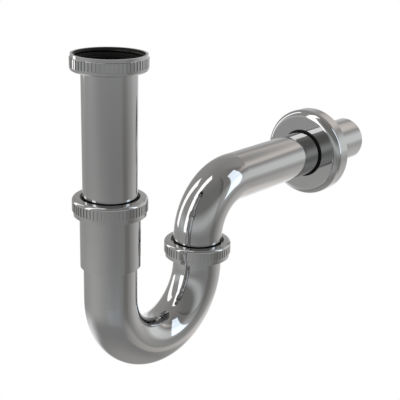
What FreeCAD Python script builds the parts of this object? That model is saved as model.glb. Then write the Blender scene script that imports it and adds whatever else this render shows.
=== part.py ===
import FreeCAD
import Part
import Sketcher

import math
import os

# Tubular drain trap for a washbasin, in millimetres, with +Z up and +X towards the wall.
# The origin is the centre of the inlet nut's mouth. Every tube's axis lies in the XZ plane.
#
# From the basin down: a union nut holds the inlet tube by its collar. The tube slides in a socket on the
# U-bend, which a slip nut seals. The U-bend's right leg ends in a threaded ferrule, and a second union nut
# draws the outlet bend's collar onto it. The outlet tube runs through a rosette into the wall.
#
# All threads are plain cylinders: the nuts' bores, and the roots of the socket's and the ferrule's threads.

SIZES = (
    ("tube_radius", 16.0, "outside of every tube"),
    ("tube_wall", 1.0, "wall of every tube"),
    ("tube_end_round", 0.4, "rounding of the outlet tube's cut end"),
    ("inlet_drop", 147.3, "inlet mouth down to the centre of the U-bend's arc"),
    ("inlet_tube_length", 96.8, "collar's top face to the inlet tube's lower end"),
    ("trap_radius", 39.72, "U-bend, at the tube's axis"),
    ("left_leg", 32.4, "U-bend's straight left leg, inside the socket"),
    ("right_leg", 10.8, "U-bend's straight right leg, to the ferrule's top"),
    ("outlet_rise", 4.74, "outlet bend's collar to the start of its arc"),
    ("outlet_radius", 33.72, "outlet bend, at the tube's axis"),
    ("outlet_run", 144.67, "end of the outlet bend to the tube's end in the wall"),
    ("slide_gap", 0.05, "radial gap of sleeves and rubber rings on a tube"),
    ("braze_gap", 0.05, "radial gap of the ferrule on the right leg"),
    ("nut_bore_radius", 20.1, "middle of the nuts' thread"),
    ("thread_depth", 0.7, "nut's bore to the root of the male threads"),
    ("relief_depth", 0.25, "undercut between the nut's thread and its lip"),
    ("lip_opening_radius", 17.2, "hole in the nut's lip, round the tube"),
    ("lip_thickness", 1.3, "nut's lip, at that hole"),
    ("inlet_skirt_radius", 21.5, "plain rim at the inlet nut's mouth"),
    ("inlet_skirt_height", 1.7, "height of that rim"),
    ("slip_skirt_radius", 21.3, "plain skirt at the other two nuts' mouths"),
    ("slip_skirt_height", 2.72, "height of that skirt"),
    ("knurl_radius", 22.05, "outside of the knurl's ribs"),
    ("knurl_height", 5.2, "height of the knurled band"),
    ("knurl_edge_round", 0.35, "rounding where the band meets the skirt"),
    ("dome_height", 2.6, "top of the band to the lip's hole"),
    ("dome_slope", 0.85, "fall of the dome from that hole to its edge"),
    ("dome_round", 1.8, "rounding of the dome's edge"),
    ("groove_count", 60, "grooves round a nut"),
    ("groove_phase", 3.8, "angle of the first groove from +X, in degrees"),
    ("groove_mouth", 1.0, "width of a groove at the ribs' outside"),
    ("groove_floor", 0.45, "width of a groove at its floor"),
    ("groove_depth", 0.5, "depth of a groove"),
    ("groove_foot", 0.6, "plain band under the grooves"),
    ("groove_overrun", 0.35, "how far the grooves run into the dome's rounding"),
    ("washer_gap", 0.5, "radial gap between washers or collars and the nut's bore"),
    ("collar_thickness", 1.0, "collars rolled on the inlet tube and the outlet bend"),
    ("slip_ring_thickness", 0.8, "friction washers under the nuts' lips"),
    ("slip_ring_gap", 0.6, "radial gap of those washers on a tube, so that they pass its bend"),
    ("gasket_thickness", 2.0, "flat ring gaskets"),
    ("socket_base", 22.4, "socket's lower edge above the centre of the U-bend's arc"),
    ("socket_length", 37.6, "socket's lower edge to its mouth"),
    ("socket_radius", 17.85, "outside of the socket"),
    ("thread_length", 5.2, "male threads of the socket and the ferrule"),
    ("thread_lead", 0.5, "chamfer at the start of the male threads"),
    ("seat_width", 2.3, "radial width of the socket's conical seat"),
    ("seat_depth", 3.0, "depth of that seat"),
    ("seal_foot_depth", 1.9, "how far the seal reaches into the seat"),
    ("seal_rim_height", 2.82, "part of the seal that stands above the socket"),
    ("rosette_station", 84.12, "end of the outlet bend to the rosette's face"),
    ("rosette_radius", 31.67, "outside of the rosette"),
    ("rosette_depth", 12.74, "rosette's face to the wall"),
    ("rosette_round", 4.74, "rounding of the rosette's edge"),
    ("rosette_sheet", 0.8, "sheet that the rosette is pressed from"),
    ("rosette_hole_gap", 1.1, "radial gap between the rosette's hole and the tube"),
    ("grip_nose_gap", 0.05, "radial gap between the grip ring's nose and the hole"),
    ("grip_recess", 0.3, "grip ring's nose below the rosette's face"),
    ("grip_width", 3.2, "radial width of the grip ring behind the sheet"),
    ("grip_length", 2.4, "length of the grip ring behind the sheet"),
)

doc = FreeCAD.newDocument("drain_trap")
sheet = doc.addObject("Spreadsheet::Sheet", "sizes")
for row, (alias, size, note) in enumerate(SIZES, start=1):
    sheet.set(f"A{row}", alias)
    sheet.set(f"B{row}", str(size))
    sheet.set(f"C{row}", note)
    sheet.setAlias(f"B{row}", alias)
doc.recompute()

# Sizes that several pieces share, as expressions on the sheet.
TUBE_BORE = "(sizes.tube_radius - sizes.tube_wall)"
SLIDE_BORE = "(sizes.tube_radius + sizes.slide_gap)"
BRAZE_BORE = "(sizes.tube_radius + sizes.braze_gap)"
WASHER_RADIUS = "(sizes.nut_bore_radius - sizes.washer_gap)"
THREAD_ROOT = "(sizes.nut_bore_radius - sizes.thread_depth)"
SEAT_RADIUS = f"({SLIDE_BORE} + sizes.seat_width)"
ROSETTE_HOLE = "(sizes.tube_radius + sizes.rosette_hole_gap)"
WASHER_STACK = "(sizes.slip_ring_thickness + sizes.collar_thickness + sizes.gasket_thickness)"
INLET_NUT_HEIGHT = "(sizes.inlet_skirt_height + sizes.knurl_height + sizes.dome_height)"
SLIP_NUT_HEIGHT = "(sizes.slip_skirt_height + sizes.knurl_height + sizes.dome_height)"

# Levels in the part's frame. Each is worked out from the piece that carries it.
ARC_LEVEL = "(-sizes.inlet_drop)"
INLET_RING_LEVEL = f"(sizes.lip_thickness - {INLET_NUT_HEIGHT})"
INLET_COLLAR_LEVEL = f"({INLET_RING_LEVEL} + sizes.slip_ring_thickness)"
INLET_GASKET_LEVEL = f"({INLET_COLLAR_LEVEL} + sizes.collar_thickness)"
SOCKET_LEVEL = f"({ARC_LEVEL} + sizes.socket_base)"
SEAL_LEVEL = f"({SOCKET_LEVEL} + sizes.socket_length)"
SOCKET_RING_LEVEL = f"({SEAL_LEVEL} + sizes.seal_rim_height)"
SOCKET_LIP_LEVEL = f"({SOCKET_RING_LEVEL} + sizes.slip_ring_thickness)"
SOCKET_NUT_LEVEL = f"({SOCKET_LIP_LEVEL} + sizes.lip_thickness - {SLIP_NUT_HEIGHT})"
FERRULE_TOP = f"({ARC_LEVEL} + sizes.right_leg)"
OUTLET_COLLAR_LEVEL = f"({FERRULE_TOP} + sizes.gasket_thickness)"
OUTLET_RING_LEVEL = f"({OUTLET_COLLAR_LEVEL} + sizes.collar_thickness)"
OUTLET_LIP_LEVEL = f"({OUTLET_RING_LEVEL} + sizes.slip_ring_thickness)"
OUTLET_NUT_LEVEL = f"({OUTLET_LIP_LEVEL} + sizes.lip_thickness - {SLIP_NUT_HEIGHT})"
OUTLET_AXIS_LEVEL = f"({OUTLET_COLLAR_LEVEL} + sizes.outlet_rise + sizes.outlet_radius)"

# Places along X.
RIGHT_AXIS = "(2 * sizes.trap_radius)"
ROSETTE_STATION = f"({RIGHT_AXIS} + sizes.outlet_radius + sizes.rosette_station)"

X_AXIS = FreeCAD.Vector(1, 0, 0)
Y_AXIS = FreeCAD.Vector(0, 1, 0)
Z_AXIS = FreeCAD.Vector(0, 0, 1)

# The numbers that a sketch uses for the ends of a line or arc, a centre, and its own two axes.
START_POINT = 1
END_POINT = 2
CENTRE_POINT = 3
ACROSS_AXIS = -1
UP_AXIS = -2

# Lengths closer than this are the same.
MATCH = 0.0001

FULL_TURN = 360
HALF_TURN = 180
QUARTER_TURN = 90


def measure(expression):
    """Gives the number that an expression on the sheet stands for."""
    return float(sheet.evalExpression(expression))


def add_body(label):
    body = doc.addObject("PartDesign::Body", label)
    body.Label = label
    return body


def place(body, along_x, level, axis=Z_AXIS, turn=0):
    """Turns a body about an axis through its origin, and sets that origin in the XZ plane."""
    body.Placement = FreeCAD.Placement(FreeCAD.Vector(), FreeCAD.Rotation(axis, turn))
    body.setExpression("Placement.Base.x", along_x)
    body.setExpression("Placement.Base.z", level)


def origin_feature(body, role):
    """Gives one of the body's own planes or axes."""
    return next(item for item in body.Origin.OriginFeatures if item.Role == role)


def add_sketch(body, name, plane, lift="0"):
    """Adds a sketch on one of the body's own planes, lifted along that plane's normal."""
    sketch = body.newObject("Sketcher::SketchObject", name)
    sketch.AttachmentSupport = [(origin_feature(body, plane), "")]
    sketch.MapMode = "FlatFace"
    sketch.setExpression("AttachmentOffset.Base.z", lift)
    return sketch


def bind_size(sketch, constraint, expression):
    """Adds a constraint whose size follows an expression."""
    index = sketch.addConstraint(constraint)
    sketch.setExpression(f"Constraints[{index}]", expression)


def bind_coordinate(sketch, kind, axis, geometry, point, expression):
    """Ties one coordinate of a point to an expression, or the point to an axis where that is zero."""
    number = measure(expression)
    if abs(number) < MATCH:
        sketch.addConstraint(Sketcher.Constraint("PointOnObject", geometry, point, axis))
    elif number > 0:
        constraint = Sketcher.Constraint(kind, ACROSS_AXIS, START_POINT, geometry, point, number)
        bind_size(sketch, constraint, expression)
    else:
        constraint = Sketcher.Constraint(kind, geometry, point, ACROSS_AXIS, START_POINT, -number)
        bind_size(sketch, constraint, f"-{expression}")


def bind_point(sketch, geometry, point, across, up):
    bind_coordinate(sketch, "DistanceX", UP_AXIS, geometry, point, across)
    bind_coordinate(sketch, "DistanceY", ACROSS_AXIS, geometry, point, up)


def arc_about(centre, radius, first, last):
    """Gives the arc that runs anticlockwise about a centre, from the side of one point to another's."""
    first_angle = math.atan2(first.y - centre.y, first.x - centre.x)
    last_angle = math.atan2(last.y - centre.y, last.x - centre.x)
    if last_angle < first_angle:
        last_angle += 2 * math.pi
    return Part.ArcOfCircle(Part.Circle(centre, Z_AXIS, radius), first_angle, last_angle)


def round_corner(before, corner, after, radius):
    """Gives the arc that rounds a corner, and whether it starts on the line that comes in."""
    back = (before - corner).normalize()
    ahead = (after - corner).normalize()
    half_angle = back.getAngle(ahead) / 2
    centre = corner + (back + ahead).normalize() * (radius / math.sin(half_angle))
    reach = radius / math.tan(half_angle)
    forwards = back.cross(ahead).z < 0
    first, last = (back, ahead) if forwards else (ahead, back)
    arc = arc_about(centre, radius, corner + first * reach, corner + last * reach)
    return arc, forwards


def add_outline(sketch, corners):
    """Draws a closed outline through corners given as expressions: (across, up) or (across, up, rounding).

    A rounded corner keeps a construction point where its two lines would meet, which carries its place.
    """
    spots = [FreeCAD.Vector(measure(corner[0]), measure(corner[1]), 0) for corner in corners]
    lines = []
    for index, spot in enumerate(spots):
        after = spots[(index + 1) % len(spots)]
        lines.append(sketch.addGeometry(Part.LineSegment(spot, after), False))
    for index, (across, up, *rounding) in enumerate(corners):
        line_in = lines[index - 1]
        line_out = lines[index]
        if not rounding:
            join = Sketcher.Constraint("Coincident", line_in, END_POINT, line_out, START_POINT)
            sketch.addConstraint(join)
            bind_point(sketch, line_out, START_POINT, across, up)
            continue
        after = spots[(index + 1) % len(spots)]
        arc, forwards = round_corner(spots[index - 1], spots[index], after, measure(rounding[0]))
        arc = sketch.addGeometry(arc, False)
        first, last = (START_POINT, END_POINT) if forwards else (END_POINT, START_POINT)
        sketch.addConstraint(Sketcher.Constraint("Tangent", line_in, END_POINT, arc, first))
        sketch.addConstraint(Sketcher.Constraint("Tangent", arc, last, line_out, START_POINT))
        bind_size(sketch, Sketcher.Constraint("Radius", arc, measure(rounding[0])), rounding[0])
        corner_point = sketch.addGeometry(Part.Point(spots[index]), True)
        for line in (line_in, line_out):
            touch = Sketcher.Constraint("PointOnObject", corner_point, START_POINT, line)
            sketch.addConstraint(touch)
        bind_point(sketch, corner_point, START_POINT, across, up)


def add_turning(body, name, corners):
    """Adds the solid that an outline of radii and heights makes when it turns round the body's Z axis."""
    sketch = add_sketch(body, name + "_outline", "XZ_Plane")
    add_outline(sketch, corners)
    turning = body.newObject("PartDesign::Revolution", name)
    turning.Profile = sketch
    turning.ReferenceAxis = (sketch, ["V_Axis"])
    turning.Angle = FULL_TURN
    return turning


def add_circle(sketch, radius):
    circle = Part.Circle(FreeCAD.Vector(), Z_AXIS, measure(radius))
    geometry = sketch.addGeometry(circle, False)
    centred = Sketcher.Constraint("Coincident", geometry, CENTRE_POINT, ACROSS_AXIS, START_POINT)
    sketch.addConstraint(centred)
    bind_size(sketch, Sketcher.Constraint("Radius", geometry, measure(radius)), radius)


def add_route(sketch, points, radius):
    """Draws a tube's axis: a leg, an arc tangent to it, and a second leg, through four points."""
    spots = [FreeCAD.Vector(measure(across), measure(up), 0) for across, up in points]
    start, bend_start, bend_end, end = spots
    heading = (bend_start - start).normalize()
    forwards = heading.cross(bend_end - bend_start).z > 0
    side = FreeCAD.Vector(-heading.y, heading.x, 0) * (1 if forwards else -1)
    centre = bend_start + side * measure(radius)
    first, last = (bend_start, bend_end) if forwards else (bend_end, bend_start)
    leg_in = sketch.addGeometry(Part.LineSegment(start, bend_start), False)
    arc = sketch.addGeometry(arc_about(centre, measure(radius), first, last), False)
    leg_out = sketch.addGeometry(Part.LineSegment(bend_end, end), False)
    arc_in, arc_out = (START_POINT, END_POINT) if forwards else (END_POINT, START_POINT)
    sketch.addConstraint(Sketcher.Constraint("Tangent", leg_in, END_POINT, arc, arc_in))
    sketch.addConstraint(Sketcher.Constraint("Coincident", arc, arc_out, leg_out, START_POINT))
    bind_point(sketch, leg_in, START_POINT, *points[0])
    bind_point(sketch, leg_in, END_POINT, *points[1])
    bind_point(sketch, leg_out, START_POINT, *points[2])
    bind_point(sketch, leg_out, END_POINT, *points[3])


def add_bent_tube(body, points, radius):
    """Sweeps the tube's section along a route that starts on the body's Z axis."""
    section = add_sketch(body, body.Label + "_section", "XY_Plane", points[0][1])
    add_circle(section, "sizes.tube_radius")
    add_circle(section, TUBE_BORE)
    route = add_sketch(body, body.Label + "_route", "XZ_Plane")
    add_route(route, points, radius)
    tube = body.newObject("PartDesign::AdditivePipe", body.Label + "_tube")
    tube.Profile = section
    tube.Spine = (route, [])
    return tube


def add_ring(label, bore, outside, thickness, along_x, level):
    """Makes a flat ring, such as a washer or a gasket, with its lower face at a level."""
    body = add_body(label)
    corners = (bore, "0"), (outside, "0"), (outside, thickness), (bore, thickness)
    add_turning(body, label + "_turning", corners)
    place(body, along_x, level)
    return body


def add_nut(label, height, skirt_radius, skirt_height, groove_phase):
    """Makes a knurled nut that stands on its mouth, with its lip and dome at the top."""
    body = add_body(label)
    lip_inside = f"({height} - sizes.lip_thickness)"
    relief_start = f"({lip_inside} - {WASHER_STACK})"
    relief_radius = "(sizes.nut_bore_radius + sizes.relief_depth)"
    band_top = f"({skirt_height} + sizes.knurl_height)"
    add_turning(body, label + "_turning", (
        ("sizes.nut_bore_radius", "0"),
        (skirt_radius, "0"),
        (skirt_radius, skirt_height),
        ("sizes.knurl_radius", skirt_height, "sizes.knurl_edge_round"),
        ("sizes.knurl_radius", f"({height} - sizes.dome_slope)", "sizes.dome_round"),
        ("sizes.lip_opening_radius", height),
        ("sizes.lip_opening_radius", lip_inside),
        (relief_radius, lip_inside),
        (relief_radius, relief_start),
        ("sizes.nut_bore_radius", relief_start),
    ))
    groove_top = f"({band_top} + sizes.groove_overrun)"
    section = add_sketch(body, label + "_groove_section", "XY_Plane", groove_top)
    section.setExpression("AttachmentOffset.Rotation.Angle", groove_phase)
    floor_radius = "(sizes.knurl_radius - sizes.groove_depth)"
    outside_radius = "(sizes.knurl_radius + sizes.groove_depth)"
    half_floor = "(sizes.groove_floor / 2)"
    half_outside = "(sizes.groove_mouth - sizes.groove_floor / 2)"
    add_outline(section, (
        (floor_radius, f"(-{half_floor})"),
        (outside_radius, f"(-{half_outside})"),
        (outside_radius, half_outside),
        (floor_radius, half_floor),
    ))
    groove = body.newObject("PartDesign::Pocket", label + "_groove")
    groove.Profile = section
    groove.setExpression("Length", f"{groove_top} - {skirt_height} - sizes.groove_foot")
    knurl = body.newObject("PartDesign::PolarPattern", label + "_knurl")
    knurl.Originals = [groove]
    knurl.Axis = (origin_feature(body, "Z_Axis"), [""])
    knurl.Angle = FULL_TURN
    knurl.setExpression("Occurrences", "sizes.groove_count")
    body.Tip = knurl
    return body


def make_slip_nut(label, along_x, level):
    skirt = ("sizes.slip_skirt_radius", "sizes.slip_skirt_height")
    body = add_nut(label, SLIP_NUT_HEIGHT, *skirt, "sizes.groove_phase")
    place(body, along_x, level)
    return body


def make_inlet_nut():
    """Makes the basin's union nut, which hangs on the inlet tube's collar with its mouth up."""
    skirt = ("sizes.inlet_skirt_radius", "sizes.inlet_skirt_height")
    body = add_nut("inlet_nut", INLET_NUT_HEIGHT, *skirt, "-sizes.groove_phase")
    place(body, "0", "0", X_AXIS, HALF_TURN)
    return body


def make_inlet_tube():
    """Makes the straight drop tube, with its collar's top face at the body's origin."""
    body = add_body("inlet_tube")
    underside = "(-sizes.collar_thickness)"
    lower_end = "(-sizes.inlet_tube_length)"
    add_turning(body, "inlet_tube_turning", (
        (TUBE_BORE, lower_end),
        ("sizes.tube_radius", lower_end),
        ("sizes.tube_radius", underside),
        (WASHER_RADIUS, underside),
        (WASHER_RADIUS, "0"),
        (TUBE_BORE, "0"),
    ))
    place(body, "0", INLET_GASKET_LEVEL)
    return body


def make_socket():
    """Makes the sleeve on the U-bend's left leg: a bore for the inlet tube, a conical seat and a thread."""
    body = add_body("inlet_socket")
    shoulder = "(sizes.socket_length - sizes.thread_length)"
    add_turning(body, "inlet_socket_turning", (
        (SLIDE_BORE, "0"),
        ("sizes.socket_radius", "0"),
        ("sizes.socket_radius", shoulder),
        (THREAD_ROOT, shoulder),
        (THREAD_ROOT, "(sizes.socket_length - sizes.thread_lead)"),
        (f"({THREAD_ROOT} - sizes.thread_lead)", "sizes.socket_length"),
        (SEAT_RADIUS, "sizes.socket_length"),
        (SLIDE_BORE, "(sizes.socket_length - sizes.seat_depth)"),
    ))
    place(body, "0", SOCKET_LEVEL)
    return body


def make_socket_seal():
    """Makes the tapered rubber ring, whose foot fills the socket's seat round the inlet tube."""
    body = add_body("socket_seal")
    foot = "(-sizes.seal_foot_depth)"
    foot_radius = f"({SEAT_RADIUS} - sizes.seat_width * sizes.seal_foot_depth / sizes.seat_depth)"
    add_turning(body, "socket_seal_turning", (
        (SLIDE_BORE, foot),
        (foot_radius, foot),
        (SEAT_RADIUS, "0"),
        (WASHER_RADIUS, "0"),
        (WASHER_RADIUS, "sizes.seal_rim_height"),
        (SLIDE_BORE, "sizes.seal_rim_height"),
    ))
    place(body, "0", SEAL_LEVEL)
    return body


def make_trap_bend():
    """Makes the U-bend, with the centre level of its arc at the body's origin."""
    body = add_body("trap_bend")
    points = (
        ("0", "sizes.left_leg"),
        ("0", "0"),
        (RIGHT_AXIS, "0"),
        (RIGHT_AXIS, "sizes.right_leg"),
    )
    add_bent_tube(body, points, "sizes.trap_radius")
    place(body, "0", ARC_LEVEL)
    return body


def make_outlet_ferrule():
    """Makes the threaded ring round the end of the U-bend's right leg, with their tops level."""
    body = add_body("outlet_ferrule")
    add_turning(body, "outlet_ferrule_turning", (
        (BRAZE_BORE, "0"),
        (THREAD_ROOT, "0"),
        (THREAD_ROOT, "(sizes.thread_length - sizes.thread_lead)"),
        (f"({THREAD_ROOT} - sizes.thread_lead)", "sizes.thread_length"),
        (BRAZE_BORE, "sizes.thread_length"),
    ))
    place(body, RIGHT_AXIS, f"{FERRULE_TOP} - sizes.thread_length")
    return body


def make_outlet_bend():
    """Makes the outlet: a collar, a quarter bend and the long tube to the wall, from one tube."""
    body = add_body("outlet_bend")
    points = (
        ("0", "0"),
        ("0", "sizes.outlet_rise"),
        ("sizes.outlet_radius", "(sizes.outlet_rise + sizes.outlet_radius)"),
        ("(sizes.outlet_radius + sizes.outlet_run)", "(sizes.outlet_rise + sizes.outlet_radius)"),
    )
    add_bent_tube(body, points, "sizes.outlet_radius")
    collar = add_turning(body, "outlet_bend_collar", (
        (TUBE_BORE, "0"),
        (WASHER_RADIUS, "0"),
        (WASHER_RADIUS, "sizes.collar_thickness"),
        (TUBE_BORE, "sizes.collar_thickness"),
    ))
    doc.recompute()
    end = FreeCAD.Vector(measure("sizes.outlet_radius + sizes.outlet_run"), 0, measure(points[-1][1]))
    rounding = body.newObject("PartDesign::Fillet", "outlet_bend_end")
    rounding.Base = (collar, [find_circle(collar.Shape, end, measure("sizes.tube_radius"))])
    rounding.setExpression("Radius", "sizes.tube_end_round")
    place(body, RIGHT_AXIS, OUTLET_COLLAR_LEVEL)
    return body


def find_circle(shape, centre, radius):
    """Gives the name of the circular edge with a given centre and radius."""
    for index, edge in enumerate(shape.Edges, start=1):
        curve = edge.Curve
        if not isinstance(curve, Part.Circle):
            continue
        if abs(curve.Radius - radius) < MATCH and curve.Center.distanceToPoint(centre) < MATCH:
            return f"Edge{index}"
    raise RuntimeError(f"no circle of radius {radius} at {centre}")


def make_wall_rosette():
    """Makes the pressed cover: a flat face with a hole, a rounded edge and a skirt that meets the wall."""
    body = add_body("wall_rosette")
    skirt_inside = "(sizes.rosette_radius - sizes.rosette_sheet)"
    add_turning(body, "wall_rosette_turning", (
        (ROSETTE_HOLE, "0"),
        ("sizes.rosette_radius", "0", "sizes.rosette_round"),
        ("sizes.rosette_radius", "sizes.rosette_depth"),
        (skirt_inside, "sizes.rosette_depth"),
        (skirt_inside, "sizes.rosette_sheet", "(sizes.rosette_round - sizes.rosette_sheet)"),
        (ROSETTE_HOLE, "sizes.rosette_sheet"),
    ))
    place(body, ROSETTE_STATION, OUTLET_AXIS_LEVEL, Y_AXIS, QUARTER_TURN)
    return body


def make_grip_ring():
    """Makes the rubber ring that holds the rosette on the tube, with its nose in the rosette's hole."""
    body = add_body("grip_ring")
    nose_radius = f"({ROSETTE_HOLE} - sizes.grip_nose_gap)"
    flange_radius = f"({SLIDE_BORE} + sizes.grip_width)"
    back = "(sizes.rosette_sheet + sizes.grip_length)"
    add_turning(body, "grip_ring_turning", (
        (SLIDE_BORE, "sizes.grip_recess"),
        (nose_radius, "sizes.grip_recess"),
        (nose_radius, "sizes.rosette_sheet"),
        (flange_radius, "sizes.rosette_sheet"),
        (flange_radius, back),
        (SLIDE_BORE, back),
    ))
    place(body, ROSETTE_STATION, OUTLET_AXIS_LEVEL, Y_AXIS, QUARTER_TURN)
    return body


SLIP_RING = ("(sizes.tube_radius + sizes.slip_ring_gap)", WASHER_RADIUS, "sizes.slip_ring_thickness")
GASKET = (TUBE_BORE, WASHER_RADIUS, "sizes.gasket_thickness")

pieces = [
    make_inlet_nut(),
    add_ring("inlet_slip_ring", *SLIP_RING, "0", INLET_RING_LEVEL),
    make_inlet_tube(),
    add_ring("inlet_gasket", *GASKET, "0", INLET_GASKET_LEVEL),
    make_slip_nut("socket_nut", "0", SOCKET_NUT_LEVEL),
    add_ring("socket_slip_ring", *SLIP_RING, "0", SOCKET_RING_LEVEL),
    make_socket_seal(),
    make_socket(),
    make_trap_bend(),
    make_outlet_ferrule(),
    add_ring("outlet_gasket", *GASKET, RIGHT_AXIS, FERRULE_TOP),
    make_outlet_bend(),
    add_ring("outlet_slip_ring", *SLIP_RING, RIGHT_AXIS, OUTLET_RING_LEVEL),
    make_slip_nut("outlet_nut", RIGHT_AXIS, OUTLET_NUT_LEVEL),
    make_wall_rosette(),
    make_grip_ring(),
]
doc.recompute()

for item in doc.Objects:
    if "Invalid" in item.State or "Error" in item.State:
        raise RuntimeError(f"{item.Label} failed: {item.State}")
for piece in pieces:
    if piece.Shape.isNull() or not piece.Shape.isValid() or len(piece.Shape.Solids) != 1:
        raise RuntimeError(f"{piece.Label} is not one valid solid")

os.makedirs("parts", exist_ok=True)
for piece in pieces:
    piece.Shape.exportStep(f"parts/{piece.Label}.step")
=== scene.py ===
"""Chromed tubular drain trap: finishes, threads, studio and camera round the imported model."""

import math

import bmesh
import bpy
from mathutils import Matrix, Vector


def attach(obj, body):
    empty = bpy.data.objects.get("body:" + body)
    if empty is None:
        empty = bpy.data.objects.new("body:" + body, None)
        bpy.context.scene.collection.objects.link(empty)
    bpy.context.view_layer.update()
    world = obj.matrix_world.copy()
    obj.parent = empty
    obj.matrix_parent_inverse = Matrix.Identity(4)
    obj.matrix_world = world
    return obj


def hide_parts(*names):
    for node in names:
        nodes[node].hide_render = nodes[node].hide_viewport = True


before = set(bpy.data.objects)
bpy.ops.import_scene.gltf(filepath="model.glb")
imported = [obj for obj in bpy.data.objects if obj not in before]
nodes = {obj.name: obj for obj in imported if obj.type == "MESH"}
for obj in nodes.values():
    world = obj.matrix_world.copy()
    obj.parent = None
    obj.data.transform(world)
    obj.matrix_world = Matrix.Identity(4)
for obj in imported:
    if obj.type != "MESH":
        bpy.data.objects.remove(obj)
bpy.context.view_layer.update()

MM = 0.001

# Places and sizes in the part's frame, in millimetres, as the model has them.
LEG_SPACING = 79.44
OUTLET_LEVEL = -96.04
NUT_BORE_RADIUS = 20.1
MALE_ROOT_RADIUS = 19.4
TUBE_BORE_RADIUS = 15.0
THREAD_PITCH = 2.309
THREAD_CLEARANCE = 0.06
COLLAR_RADIUS = 19.6
THREAD_STEPS = 64
THREAD_FADE = 16

# The nuts, in millimetres and degrees.
KNURL_RADIUS = 22.05
KNURL_HEIGHT = 5.2
KNURL_EDGE_ROUND = 0.35
DOME_HEIGHT = 2.6
DOME_SLOPE = 0.2
DOME_ROUND = 1.8
DOME_STEPS = 10
LIP_OPENING_RADIUS = 17.5
LIP_THICKNESS = 1.3
RELIEF_RADIUS = 20.35
WASHER_STACK = 3.8
GROOVE_COUNT = 60
GROOVE_PHASE = 3.8
GROOVE_FLOOR_RADIUS = 21.55
GROOVE_FLOOR_WIDTH = 0.9
GROOVE_MIDDLE_WIDTH = 1.0
GROOVE_END_SLOPE = 0.04
SUPPORT = 0.04
ROSETTE_FACE = 197.28
LIP_INSIDE = 16.06
LIP_NECK = 17.0
LIP_OUTSIDE = 17.5
LIP_STEPS = 96

# Where the photograph was taken from.
CAMERA_PLACE = Vector((-0.33796, -0.34870, 0.0826))
CAMERA_HEADING = 0.8766
CAMERA_FALL = 0.3309
CAMERA_ROLL = math.radians(1.65)
CAMERA_LENS = 79.71

# The studio: directions are seen from the part's middle, as an azimuth from the camera's heading,
# positive to its right, and an elevation, both in degrees.
STUDIO_CENTRE = Vector((0.12, 0.0, -0.10))
FLOOR_LEVEL = -0.65
FLOOR_RADIUS = 9.0

# The studio's colours, where 1 is white. The ones with a minus sign are taken away from the wall's.
WALL = (0.432, 0.425, 0.415)
WALL_BEHIND = (-0.180, -0.175, -0.172)
LEFT_CORNER = (-129.7, -149.5)
RIGHT_WALL = (-0.146, -0.147, -0.147)
RIGHT_WALL_PLACE = (97.0, 15.0, 20.3)
CEILING = (0.352, 0.343, 0.330)
CEILING_EDGE = (43.2, 90.0)
GROUND = (0.334, 0.336, 0.331)
GROUND_BELOW = (0.495, 0.478, 0.461)
GROUND_EDGE = -20.5

# Soft glows on the walls and the ground: where they are across and up, as the middle, the half width
# of the even part and how far it fades beyond that, and their colour.
GLOWS = (
    ((-96.1, 5.0, 56.2), (-0.7, 0.0, 18.4), (0.265, 0.285, 0.291)),
    ((-56.6, 0.0, 63.1), (-44.1, 1.5, 14.4), (0.860, 0.859, 0.857)),
    ((-114.2, 0.0, 89.9), (-27.1, 2.5, 17.0), (0.296, 0.291, 0.282)),
    ((57.5, 16.9, 61.2), (6.1, 5.0, 17.3), (0.592, 0.612, 0.621)),
    ((49.9, 0.0, 65.0), (32.8, 0.0, 8.0), (0.528, 0.473, 0.432)),
    ((26.3, 25.4, 54.6), (-33.2, 10.1, 25.0), (0.453, 0.432, 0.417)),
    ((67.7, 33.6, 41.0), (-43.5, 4.6, 6.5), (0.279, 0.252, 0.229)),
    ((113.8, 4.0, 13.5), (-22.2, 1.0, 22.4), (-0.086, -0.098, -0.104)),
    ((-41.8, 11.6, 30.9), (-16.2, 1.0, 18.3), (0.110, 0.102, 0.093)),
    ((166.8, 15.0, 25.5), (-33.4, 4.4, 7.2), (0.099, 0.116, 0.137)),
)
GLOW_BEHIND = (0.387, 0.401, 0.409)
GLOW_BEHIND_PLACE = (4.8, 0.0, 21.7)
FLOOR_GLOW = 0.85

HEADING = Vector((math.sin(CAMERA_HEADING), math.cos(CAMERA_HEADING), 0.0))
RIGHTWARDS = Vector((math.cos(CAMERA_HEADING), -math.sin(CAMERA_HEADING), 0.0))


# Shader helpers

def feed(tree, socket, value):
    """Links an output to the socket, or sets the socket's own value."""
    if isinstance(value, bpy.types.NodeSocket):
        tree.links.new(value, socket)
    elif isinstance(value, (tuple, list, Vector)) and len(socket.default_value) == 4:
        socket.default_value = (*value[:3], 1.0)
    else:
        socket.default_value = value


def maths(tree, operation, *values):
    node = tree.nodes.new("ShaderNodeMath")
    node.operation = operation
    for socket, value in zip(node.inputs, values):
        feed(tree, socket, value)
    return node.outputs[0]


def product(tree, *values):
    result = values[0]
    for value in values[1:]:
        result = maths(tree, "MULTIPLY", result, value)
    return result


def total(tree, *values):
    result = values[0]
    for value in values[1:]:
        result = maths(tree, "ADD", result, value)
    return result


def ramp(tree, value, start, end, low=0.0, high=1.0):
    """Goes smoothly from low to high while the value goes from start to end."""
    node = tree.nodes.new("ShaderNodeMapRange")
    node.interpolation_type = "SMOOTHSTEP"
    for socket, number in zip(node.inputs, (value, start, end, low, high)):
        feed(tree, socket, number)
    return node.outputs[0]


def patch(tree, value, centre, half, soft):
    """Is 1 within half of the centre and falls smoothly to 0 over soft beyond that."""
    away = maths(tree, "ABSOLUTE", maths(tree, "SUBTRACT", value, centre))
    return ramp(tree, away, half, half + soft, 1.0, 0.0)


def turn_patch(tree, azimuth, centre, half, soft):
    """The same for an azimuth, which wraps round."""
    away = maths(tree, "WRAP", maths(tree, "SUBTRACT", azimuth, centre), 180.0, -180.0)
    return patch(tree, away, 0.0, half, soft)


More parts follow.
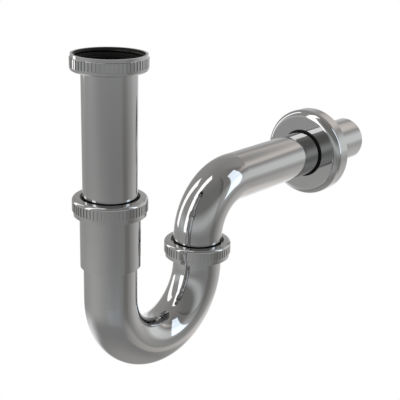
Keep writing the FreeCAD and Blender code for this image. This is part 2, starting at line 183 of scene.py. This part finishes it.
def mix_colours(tree, factor, first, second):
    node = tree.nodes.new("ShaderNodeMix")
    node.data_type = "RGBA"
    feed(tree, node.inputs[0], factor)
    feed(tree, node.inputs[6], first)
    feed(tree, node.inputs[7], second)
    return node.outputs[2]


def dot(tree, vector, constant):
    node = tree.nodes.new("ShaderNodeVectorMath")
    node.operation = "DOT_PRODUCT"
    feed(tree, node.inputs[0], vector)
    node.inputs[1].default_value = constant
    return node.outputs["Value"]


# Studio light by direction, shared by the world and the floor

def add_light(tree, light, amount, colour):
    """Adds an amount of a colour to the light so far."""
    node = tree.nodes.new("ShaderNodeVectorMath")
    node.operation = "MULTIPLY_ADD"
    feed(tree, node.inputs[0], amount)
    feed(tree, node.inputs[1], colour)
    feed(tree, node.inputs[2], light)
    return node.outputs[0]


def studio_light(tree, direction):
    """Returns the studio's colour, which is 1 where it is white, in a direction of length 1."""
    ahead = dot(tree, direction, HEADING)
    right = dot(tree, direction, RIGHTWARDS)
    height = dot(tree, direction, (0.0, 0.0, 1.0))
    azimuth = maths(tree, "DEGREES", maths(tree, "ARCTAN2", right, ahead))
    elevation = maths(tree, "DEGREES", maths(tree, "ARCSINE", height))

    # Walls: pale grey ahead, darker behind the camera, with one hard corner on the right.
    behind = maths(tree, "MAXIMUM", ramp(tree, azimuth, 118.5, 119.5), ramp(tree, azimuth, *LEFT_CORNER))
    wall = add_light(tree, WALL, behind, WALL_BEHIND)
    wall = add_light(tree, wall, patch(tree, azimuth, *RIGHT_WALL_PLACE), RIGHT_WALL)
    wall = mix_colours(tree, ramp(tree, elevation, *CEILING_EDGE), wall, CEILING)
    ground = mix_colours(tree, ramp(tree, elevation, -50.0, -85.0), GROUND, GROUND_BELOW)
    light = mix_colours(tree, ramp(tree, elevation, 0.0, GROUND_EDGE), wall, ground)

    for across, up, colour in GLOWS:
        amount = product(tree, turn_patch(tree, azimuth, *across), patch(tree, elevation, *up))
        light = add_light(tree, light, amount, colour)
    amount = product(tree, behind, patch(tree, elevation, *GLOW_BEHIND_PLACE))
    return add_light(tree, light, amount, GLOW_BEHIND)


def make_world():
    world = bpy.data.worlds.new("studio")
    bpy.context.scene.world = world
    world.use_nodes = True
    tree = world.node_tree
    tree.nodes.clear()
    direction = tree.nodes.new("ShaderNodeTexCoord").outputs["Generated"]
    colour = studio_light(tree, direction)
    background = tree.nodes.new("ShaderNodeBackground")
    tree.links.new(colour, background.inputs["Color"])
    output = tree.nodes.new("ShaderNodeOutputWorld")
    tree.links.new(background.outputs[0], output.inputs["Surface"])


def make_floor():
    """A pale floor under the part, as far below it as under a washbasin."""
    bpy.ops.mesh.primitive_circle_add(
        vertices=96, radius=FLOOR_RADIUS, fill_type="NGON", location=(STUDIO_CENTRE.x, 0.0, FLOOR_LEVEL))
    floor = bpy.context.object
    floor.name = "floor"
    material = bpy.data.materials.new("pale_floor")
    material.use_nodes = True
    tree = material.node_tree
    tree.nodes.clear()
    place = tree.nodes.new("ShaderNodeNewGeometry").outputs["Position"]

    # Direction of each place on the floor as seen from the part's middle.
    offset = tree.nodes.new("ShaderNodeVectorMath")
    offset.operation = "SUBTRACT"
    tree.links.new(place, offset.inputs[0])
    offset.inputs[1].default_value = STUDIO_CENTRE
    unit = tree.nodes.new("ShaderNodeVectorMath")
    unit.operation = "NORMALIZE"
    tree.links.new(offset.outputs[0], unit.inputs[0])
    colour = studio_light(tree, unit.outputs[0])

    # White sheet that lies on the floor where the photograph's background is.
    ahead = maths(tree, "SUBTRACT", dot(tree, place, HEADING), CAMERA_PLACE.dot(HEADING))
    right = maths(tree, "SUBTRACT", dot(tree, place, RIGHTWARDS), CAMERA_PLACE.dot(RIGHTWARDS))
    spread = maths(tree, "ABSOLUTE", maths(tree, "DIVIDE", right, maths(tree, "MAXIMUM", ahead, 0.01)))
    sheet = product(tree, ramp(tree, spread, 0.285, 0.40, 1.0, 0.0), ramp(tree, ahead, 1.0, 1.13))

    pale = tree.nodes.new("ShaderNodeBsdfDiffuse")
    pale.inputs["Color"].default_value = (0.5, 0.5, 0.5, 1.0)
    lit = tree.nodes.new("ShaderNodeEmission")
    tree.links.new(mix_colours(tree, sheet, colour, (1.0, 1.0, 1.0)), lit.inputs["Color"])
    share = total(tree, FLOOR_GLOW, product(tree, sheet, 1.0 - FLOOR_GLOW))
    path = tree.nodes.new("ShaderNodeLightPath")
    seen = total(
        tree, path.outputs["Is Camera Ray"], path.outputs["Is Glossy Ray"], path.outputs["Is Transmission Ray"])
    mixed = tree.nodes.new("ShaderNodeMixShader")
    tree.links.new(product(tree, share, maths(tree, "MINIMUM", seen, 1.0)), mixed.inputs[0])
    tree.links.new(pale.outputs[0], mixed.inputs[1])
    tree.links.new(lit.outputs[0], mixed.inputs[2])
    output = tree.nodes.new("ShaderNodeOutputMaterial")
    tree.links.new(mixed.outputs[0], output.inputs["Surface"])
    floor.data.materials.append(material)


def make_softbox(name, azimuth, low, high, width, radiance, colour, distance=5.0):
    """A flat lamp that faces the part and fills the given angles, in degrees, as seen from it."""
    middle = math.radians((low + high) / 2)
    a = math.radians(azimuth)
    outwards = (HEADING * math.cos(a) + RIGHTWARDS * math.sin(a)) * math.cos(middle)
    outwards = outwards + Vector((0.0, 0.0, math.sin(middle)))
    lamp = bpy.data.lights.new(name, "AREA")
    lamp.shape = "RECTANGLE"
    lamp.size = 2 * distance * math.tan(math.radians(width / 2))
    lamp.size_y = 2 * distance * math.tan(math.radians((high - low) / 2))
    lamp.energy = radiance * math.pi * lamp.size * lamp.size_y
    lamp.color = colour
    softbox = bpy.data.objects.new(name, lamp)
    bpy.context.scene.collection.objects.link(softbox)
    softbox.location = STUDIO_CENTRE + outwards * distance
    softbox.rotation_mode = "QUATERNION"
    softbox.rotation_quaternion = outwards.to_track_quat("Z", "Y")
    softbox.visible_camera = False


def make_camera():
    """Puts the camera where the photograph was taken."""
    fall, roll = CAMERA_FALL, CAMERA_ROLL
    up = HEADING * math.sin(fall) + Vector((0.0, 0.0, math.cos(fall)))
    look = HEADING * math.cos(fall) - Vector((0.0, 0.0, math.sin(fall)))
    right = RIGHTWARDS * math.cos(roll) + up * math.sin(roll)
    up = up * math.cos(roll) - RIGHTWARDS * math.sin(roll)
    data = bpy.data.cameras.new("camera")
    data.lens = CAMERA_LENS
    data.sensor_width = 36.0
    camera = bpy.data.objects.new("camera", data)
    bpy.context.scene.collection.objects.link(camera)
    camera.matrix_world = Matrix((
        (right.x, up.x, -look.x, CAMERA_PLACE.x),
        (right.y, up.y, -look.y, CAMERA_PLACE.y),
        (right.z, up.z, -look.z, CAMERA_PLACE.z),
        (0.0, 0.0, 0.0, 1.0),
    ))
    bpy.context.scene.camera = camera


# Finishes

def new_finish(name):
    material = bpy.data.materials.new(name)
    material.use_nodes = True
    tree = material.node_tree
    shader = tree.nodes["Principled BSDF"]
    return material, tree, shader


def noise(tree, scale, detail=2.0, stretch=None):
    """Noise in the part's own frame, with the scale in cells per metre."""
    vector = tree.nodes.new("ShaderNodeTexCoord").outputs["Object"]
    if stretch:
        mapping = tree.nodes.new("ShaderNodeMapping")
        tree.links.new(vector, mapping.inputs["Vector"])
        mapping.inputs["Scale"].default_value = stretch
        vector = mapping.outputs[0]
    node = tree.nodes.new("ShaderNodeTexNoise")
    tree.links.new(vector, node.inputs["Vector"])
    node.inputs["Scale"].default_value = scale
    node.inputs["Detail"].default_value = detail
    return node.outputs["Fac"]


def bump(tree, height, distance):
    node = tree.nodes.new("ShaderNodeBump")
    tree.links.new(height, node.inputs["Height"])
    node.inputs["Distance"].default_value = distance
    node.inputs["Strength"].default_value = 1.0
    return node.outputs[0]


def distance_from_axis(tree, axis_x=None, level=None):
    """Distance in metres from an upright axis at axis_x, or from one along +X at the level."""
    place = tree.nodes.new("ShaderNodeTexCoord").outputs["Object"]
    split = tree.nodes.new("ShaderNodeSeparateXYZ")
    tree.links.new(place, split.inputs[0])
    if level is None:
        first = maths(tree, "SUBTRACT", split.outputs["X"], axis_x * MM)
    else:
        first = maths(tree, "SUBTRACT", split.outputs["Z"], level * MM)
    squares = total(tree, product(tree, first, first), product(tree, split.outputs["Y"], split.outputs["Y"]))
    return maths(tree, "SQRT", squares), split


# The default inside colour, metal and roughness paint the bore black as shade.
def polished_chrome(name, inside=None, inside_colour=(0.02, 0.02, 0.02), inside_metal=0.0, inside_rough=0.5):
    """Bright chrome plate. The function inside gives 1 where the plate stops in a bore; there the inside colour
    takes over, which by default is painted black shade: dark, not metal and rough.
    """
    material, tree, shader = new_finish(name)
    smudge = noise(tree, 55.0, 3.0)
    plate = mix_colours(tree, smudge, (0.505, 0.508, 0.513), (0.535, 0.535, 0.536))
    rough = ramp(tree, smudge, 0.35, 0.75, 0.045, 0.075)
    metal = 1.0
    if inside:
        mask = inside(tree)
        plate = mix_colours(tree, mask, plate, inside_colour)
        rough = total(tree, rough, product(tree, mask, inside_rough))
        metal = maths(tree, "SUBTRACT", 1.0, product(tree, mask, 1.0 - inside_metal))
    feed(tree, shader.inputs["Base Color"], plate)
    feed(tree, shader.inputs["Metallic"], metal)
    feed(tree, shader.inputs["Roughness"], rough)
    feed(tree, shader.inputs["Normal"], bump(tree, noise(tree, 38.0, 1.0), 0.00004))
    return material


# Painted shade: the inside of the inlet nut's bore, below its mouth, is painted black where shade falls.
def painted_shade_in_nut_mouth(tree):
    radius, split = distance_from_axis(tree, axis_x=0.0)
    within = ramp(tree, radius, (NUT_BORE_RADIUS + 0.45) * MM, (NUT_BORE_RADIUS + 0.35) * MM)
    below = ramp(tree, split.outputs["Z"], -0.12 * MM, -0.2 * MM)
    return product(tree, within, below)


def inlet_bore(tree):
    radius, _ = distance_from_axis(tree, axis_x=0.0)
    return ramp(tree, radius, (TUBE_BORE_RADIUS + 0.5) * MM, (TUBE_BORE_RADIUS + 0.3) * MM)


def outlet_bore(tree):
    radius, split = distance_from_axis(tree, level=OUTLET_LEVEL)
    beyond = ramp(tree, split.outputs["X"], 112.0 * MM, 114.0 * MM)
    within = ramp(tree, radius, (TUBE_BORE_RADIUS + 0.5) * MM, (TUBE_BORE_RADIUS + 0.3) * MM)
    return product(tree, within, beyond)


def moulded(name, colour, roughness, grain, depth, shine=0.5):
    """Black rubber or plastic straight from the mould."""
    material, tree, shader = new_finish(name)
    fine = noise(tree, grain, 3.0)
    dark = tuple(c * 0.8 for c in colour)
    feed(tree, shader.inputs["Base Color"], mix_colours(tree, noise(tree, 120.0, 2.0), dark, colour))
    feed(tree, shader.inputs["Roughness"], ramp(tree, fine, 0.3, 0.7, roughness, roughness + 0.1))
    feed(tree, shader.inputs["Normal"], bump(tree, fine, depth))
    shader.inputs["Specular IOR Level"].default_value = shine
    return material


def bare_brass_and_painted_shade(name, dark, light):
    """Threads, which aren't polished before they are plated; given near-black colours, the same finish is painted
    shade.
    """
    material, tree, shader = new_finish(name)
    tone = noise(tree, 400.0, 3.0)
    feed(tree, shader.inputs["Base Color"], mix_colours(tree, tone, dark, light))
    shader.inputs["Metallic"].default_value = 1.0
    feed(tree, shader.inputs["Roughness"], ramp(tree, tone, 0.3, 0.7, 0.25, 0.4))
    feed(tree, shader.inputs["Normal"], bump(tree, tone, 0.00002))
    return material


def dress(material, *names):
    for name in names:
        for slot in nodes[name].material_slots:
            slot.material = material


BRASS_BORE = {"inside_colour": (0.33, 0.25, 0.15), "inside_metal": 1.0, "inside_rough": 0.3}
chrome = polished_chrome("chrome_plate")
dress(chrome, "inlet_socket", "trap_bend", "socket_nut", "outlet_nut", "outlet_ferrule", "wall_rosette")
# The inlet nut's chrome, with painted black shade inside its mouth.
chrome_with_painted_shade_mouth = polished_chrome("chrome_plate_painted_shade_mouth", painted_shade_in_nut_mouth)
dress(chrome_with_painted_shade_mouth, "inlet_nut")
dress(polished_chrome("chrome_plate_inlet_tube", inlet_bore, **BRASS_BORE), "inlet_tube")
dress(polished_chrome("chrome_plate_outlet_tube", outlet_bore, **BRASS_BORE), "outlet_bend")
rubber = moulded("black_rubber", (0.008, 0.008, 0.008), 0.55, 900.0, 0.00002, shine=0.2)
dress(rubber, "inlet_gasket", "socket_seal", "outlet_gasket", "grip_ring")
slip_plastic = moulded("slip_plastic", (0.03, 0.03, 0.032), 0.3, 1500.0, 0.00001)
dress(slip_plastic, "inlet_slip_ring", "socket_slip_ring", "outlet_slip_ring")
thread_metal = bare_brass_and_painted_shade("thread_metal", (0.30, 0.27, 0.22), (0.46, 0.42, 0.35))
# Painted shade: a near-black thread for inside the inlet nut's mouth, where shade falls.
painted_shade_thread_metal = bare_brass_and_painted_shade("painted_shade_thread_metal", (0.02, 0.02, 0.02), (0.045, 0.043, 0.04))


# Nuts, whose domes are flatter and whose grooves are wider than the solids have them

def nut_profile(rim_radius, rim_height, groove_end, groove_top):
    """Gives the section of a nut that stands on its mouth: rows of radius, height, and radius in a groove."""
    band_start = KNURL_RADIUS - KNURL_EDGE_ROUND
    height = rim_height + KNURL_HEIGHT + DOME_HEIGHT
    slope = math.atan2(DOME_SLOPE, KNURL_RADIUS - LIP_OPENING_RADIUS)
    reach = DOME_ROUND * math.tan((math.pi / 2 - slope) / 2)
    edge_level = height - DOME_SLOPE - reach
    rows = [(NUT_BORE_RADIUS, 0.0), (rim_radius, 0.0), (rim_radius, rim_height)]
    for step in range(4):
        angle = math.pi / 6 * step
        rows.append((
            band_start + KNURL_EDGE_ROUND * math.sin(angle),
            rim_height + KNURL_EDGE_ROUND * (1 - math.cos(angle)),
        ))
    rows.append((KNURL_RADIUS, rim_height + KNURL_EDGE_ROUND + SUPPORT))
    rows += [(KNURL_RADIUS, groove_end + i) for i in (-GROOVE_END_SLOPE, 0.0) if groove_end > rim_height]
    rows += [(KNURL_RADIUS, groove_top), (KNURL_RADIUS, groove_top + GROOVE_END_SLOPE)]
    for step in range(DOME_STEPS + 1):
        angle = (math.pi / 2 - slope) * step / DOME_STEPS
        rows.append((
            KNURL_RADIUS - DOME_ROUND * (1 - math.cos(angle)),
            edge_level + DOME_ROUND * math.sin(angle),
        ))
    rows.append((rows[-1][0] - SUPPORT * math.cos(slope), rows[-1][1] + SUPPORT * math.sin(slope)))
    rows.append((LIP_OPENING_RADIUS, height))
    rows.append((LIP_OPENING_RADIUS, height - LIP_THICKNESS))
    rows.append((RELIEF_RADIUS, height - LIP_THICKNESS))
    rows.append((RELIEF_RADIUS, height - LIP_THICKNESS - WASHER_STACK))
    rows.append((NUT_BORE_RADIUS, height - LIP_THICKNESS - WASHER_STACK))
    section = []
    for radius, level in rows:
        grooved = radius > GROOVE_FLOOR_RADIUS and groove_end <= level <= groove_top
        section.append((radius, level, GROOVE_FLOOR_RADIUS if grooved else radius))
    return section


def add_nut(name, node, body, finish, axis_x, mouth, upwards, rim, grooves):
    """A knurled nut in the place of a solid one. It stands on its mouth, or has it at the top."""
    section = nut_profile(*rim, *grooves)
    floor_edge = math.asin(GROOVE_FLOOR_WIDTH / 2 / GROOVE_FLOOR_RADIUS)
    rib_edge = math.asin(GROOVE_MIDDLE_WIDTH / 2 / KNURL_RADIUS)
    pitch = 2 * math.pi / GROOVE_COUNT
    columns = []
    for groove in range(GROOVE_COUNT):
        middle = math.radians(GROOVE_PHASE) + pitch * groove
        for turn, cut in ((-rib_edge, False), (-floor_edge, True), (0.0, True), (floor_edge, True),
                          (rib_edge, False), (pitch / 2, False)):
            columns.append((middle + turn, cut))
    points = []
    for angle, cut in columns:
        for radius, level, floor_radius in section:
            across = floor_radius if cut else radius
            rise = -level if upwards else level
            points.append((
                (axis_x + across * math.cos(angle)) * MM,
                across * math.sin(angle) * MM,
                (mouth + rise) * MM,
            ))
    rows = len(section)
    count = len(columns)
    faces = []
    for i in range(count):
        for j in range(rows):
            k = (i + 1) % count
            n = (j + 1) % rows
            faces.append((i * rows + j, k * rows + j, k * rows + n, i * rows + n))
    nut = add_piece(name, points, faces, finish, body)
    nut.data.polygons.foreach_set("use_smooth", [True] * len(nut.data.polygons))
    nut.data.set_sharp_from_angle(angle=math.radians(32))
    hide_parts(node)
    return nut


def add_piece(name, points, faces, finish, body):
    """Makes a mesh with its faces turned outwards, which rides on a body."""
    mesh = bpy.data.meshes.new(name)
    mesh.from_pydata(points, [], faces)
    shape = bmesh.new()
    shape.from_mesh(mesh)
    bmesh.ops.recalc_face_normals(shape, faces=shape.faces)
    shape.to_mesh(mesh)
    shape.free()
    mesh.materials.append(finish)
    piece = bpy.data.objects.new(name, mesh)
    bpy.context.scene.collection.objects.link(piece)
    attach(piece, body)
    return piece


inlet_rim = (21.5, 1.7)
inlet_grooves = (2.0, 6.85)
# The inlet nut carries the chrome with painted shade in its mouth.
add_nut("inlet_nut_knurled", "inlet_nut", "inlet_union", chrome_with_painted_shade_mouth, 0.0, 0.0, True, inlet_rim, inlet_grooves)
slip_rim = (21.3, 2.72)
slip_grooves = (2.72, 8.27)
add_nut("socket_nut_knurled", "socket_nut", "socket_slip_nut", chrome, 0.0, -92.9, False, slip_rim, slip_grooves)
add_nut("outlet_nut_knurled", "outlet_nut", "outlet_union", chrome, LEG_SPACING, -141.92, False, slip_rim,
        slip_grooves)


# The grip ring's lip, which laps over the edge of the rosette's hole

def add_grip_lip():
    """A thin rubber lip round the outlet tube, in front of the rosette's face and in its hole."""
    section = ((LIP_INSIDE, 0.3), (LIP_NECK, 0.3), (LIP_NECK, -0.01), (LIP_OUTSIDE, -0.01),
               (LIP_OUTSIDE, -0.09), (LIP_OUTSIDE - 0.06, -0.15), (LIP_INSIDE, -0.15))
    points = []
    faces = []
    for i in range(LIP_STEPS):
        angle = 2 * math.pi * i / LIP_STEPS
        for j, (radius, depth) in enumerate(section):
            points.append((
                (ROSETTE_FACE + depth) * MM,
                radius * math.cos(angle) * MM,
                (OUTLET_LEVEL + radius * math.sin(angle)) * MM,
            ))
            k = (i + 1) % LIP_STEPS
            n = (j + 1) % len(section)
            faces.append(tuple(a * len(section) + b for a, b in ((i, j), (k, j), (k, n), (i, n))))
    lip = add_piece("grip_lip", points, faces, rubber, "rosette")
    lip.data.polygons.foreach_set("use_smooth", [True] * len(lip.data.polygons))
    lip.data.set_sharp_from_angle(angle=math.radians(32))


add_grip_lip()


# Threads, which the solids leave plain

def add_thread(name, body, finish, axis_x, bottom, top, root_radius, crest_radius, turned=0.0):
    """A right-handed ridge wound on a plain cylinder, tapered away at both ends.

    The crest is outside the root on a male thread and inside it in a nut. A ridge and the one it
    meets stand half a turn apart, so that they never touch, however far the nut is screwed.
    """
    half_root = 0.34 * THREAD_PITCH
    half_crest = 0.12 * THREAD_PITCH
    buried = root_radius - math.copysign(0.05, crest_radius - root_radius)
    low = bottom + half_root
    high = top - half_root
    count = round((high - low) / THREAD_PITCH * THREAD_STEPS)
    points = []
    faces = []
    for i in range(count + 1):
        level = low + (high - low) * i / count
        angle = 2 * math.pi * level / THREAD_PITCH + turned
        fade = min(1.0, i / THREAD_FADE, (count - i) / THREAD_FADE)
        crest = root_radius + (crest_radius - root_radius) * fade
        section = ((buried, -half_root), (crest, -half_crest), (crest, half_crest), (buried, half_root))
        for radius, rise in section:
            points.append((
                (axis_x + radius * math.cos(angle)) * MM,
                radius * math.sin(angle) * MM,
                (level + rise) * MM,
            ))
        if i:
            for j in range(4):
                k = (j + 1) % 4
                faces.append((4 * i - 4 + j, 4 * i + j, 4 * i + k, 4 * i - 4 + k))
    faces.append((0, 1, 2, 3))
    faces.append((4 * count + 3, 4 * count + 2, 4 * count + 1, 4 * count))
    return add_piece(name, points, faces, finish, body)


male = (MALE_ROOT_RADIUS, NUT_BORE_RADIUS - THREAD_CLEARANCE)
# The nuts' threads also pass over the seal and the collars when they are screwed off.
female = (NUT_BORE_RADIUS, COLLAR_RADIUS + THREAD_CLEARANCE)
# The inlet nut's thread is painted near black as shade in its mouth.
add_thread("inlet_nut_thread", "inlet_union", painted_shade_thread_metal, 0.0, -4.35, -0.1, *female)
add_thread("socket_thread", "trap", thread_metal, 0.0, -92.4, -87.8, *male)
add_thread("socket_nut_thread", "socket_slip_nut", thread_metal, 0.0, -92.8, -87.6, *female, turned=math.pi)
add_thread("ferrule_thread", "trap", thread_metal, LEG_SPACING, -141.6, -137.0, *male)
add_thread("outlet_nut_thread", "outlet_union", thread_metal, LEG_SPACING, -141.8, -136.6, *female, turned=math.pi)


make_floor()
make_world()
make_softbox("softbox_left_low", -117.0, -6.0, 40.0, 15.5, 1.7, (1.0, 1.0, 1.0))
make_softbox("softbox_left_high", -113.5, 40.0, 82.0, 13.5, 1.7, (1.0, 1.0, 1.0))
make_softbox("softbox_ahead", -65.5, -9.3, 47.0, 16.5, 1.5, (1.0, 0.985, 0.965), distance=2.8)
make_softbox("softbox_right", 95.0, -2.5, 50.0, 15.5, 1.5, (0.767, 0.887, 1.0))
make_camera()
bpy.context.scene.view_settings.view_transform = "Standard"
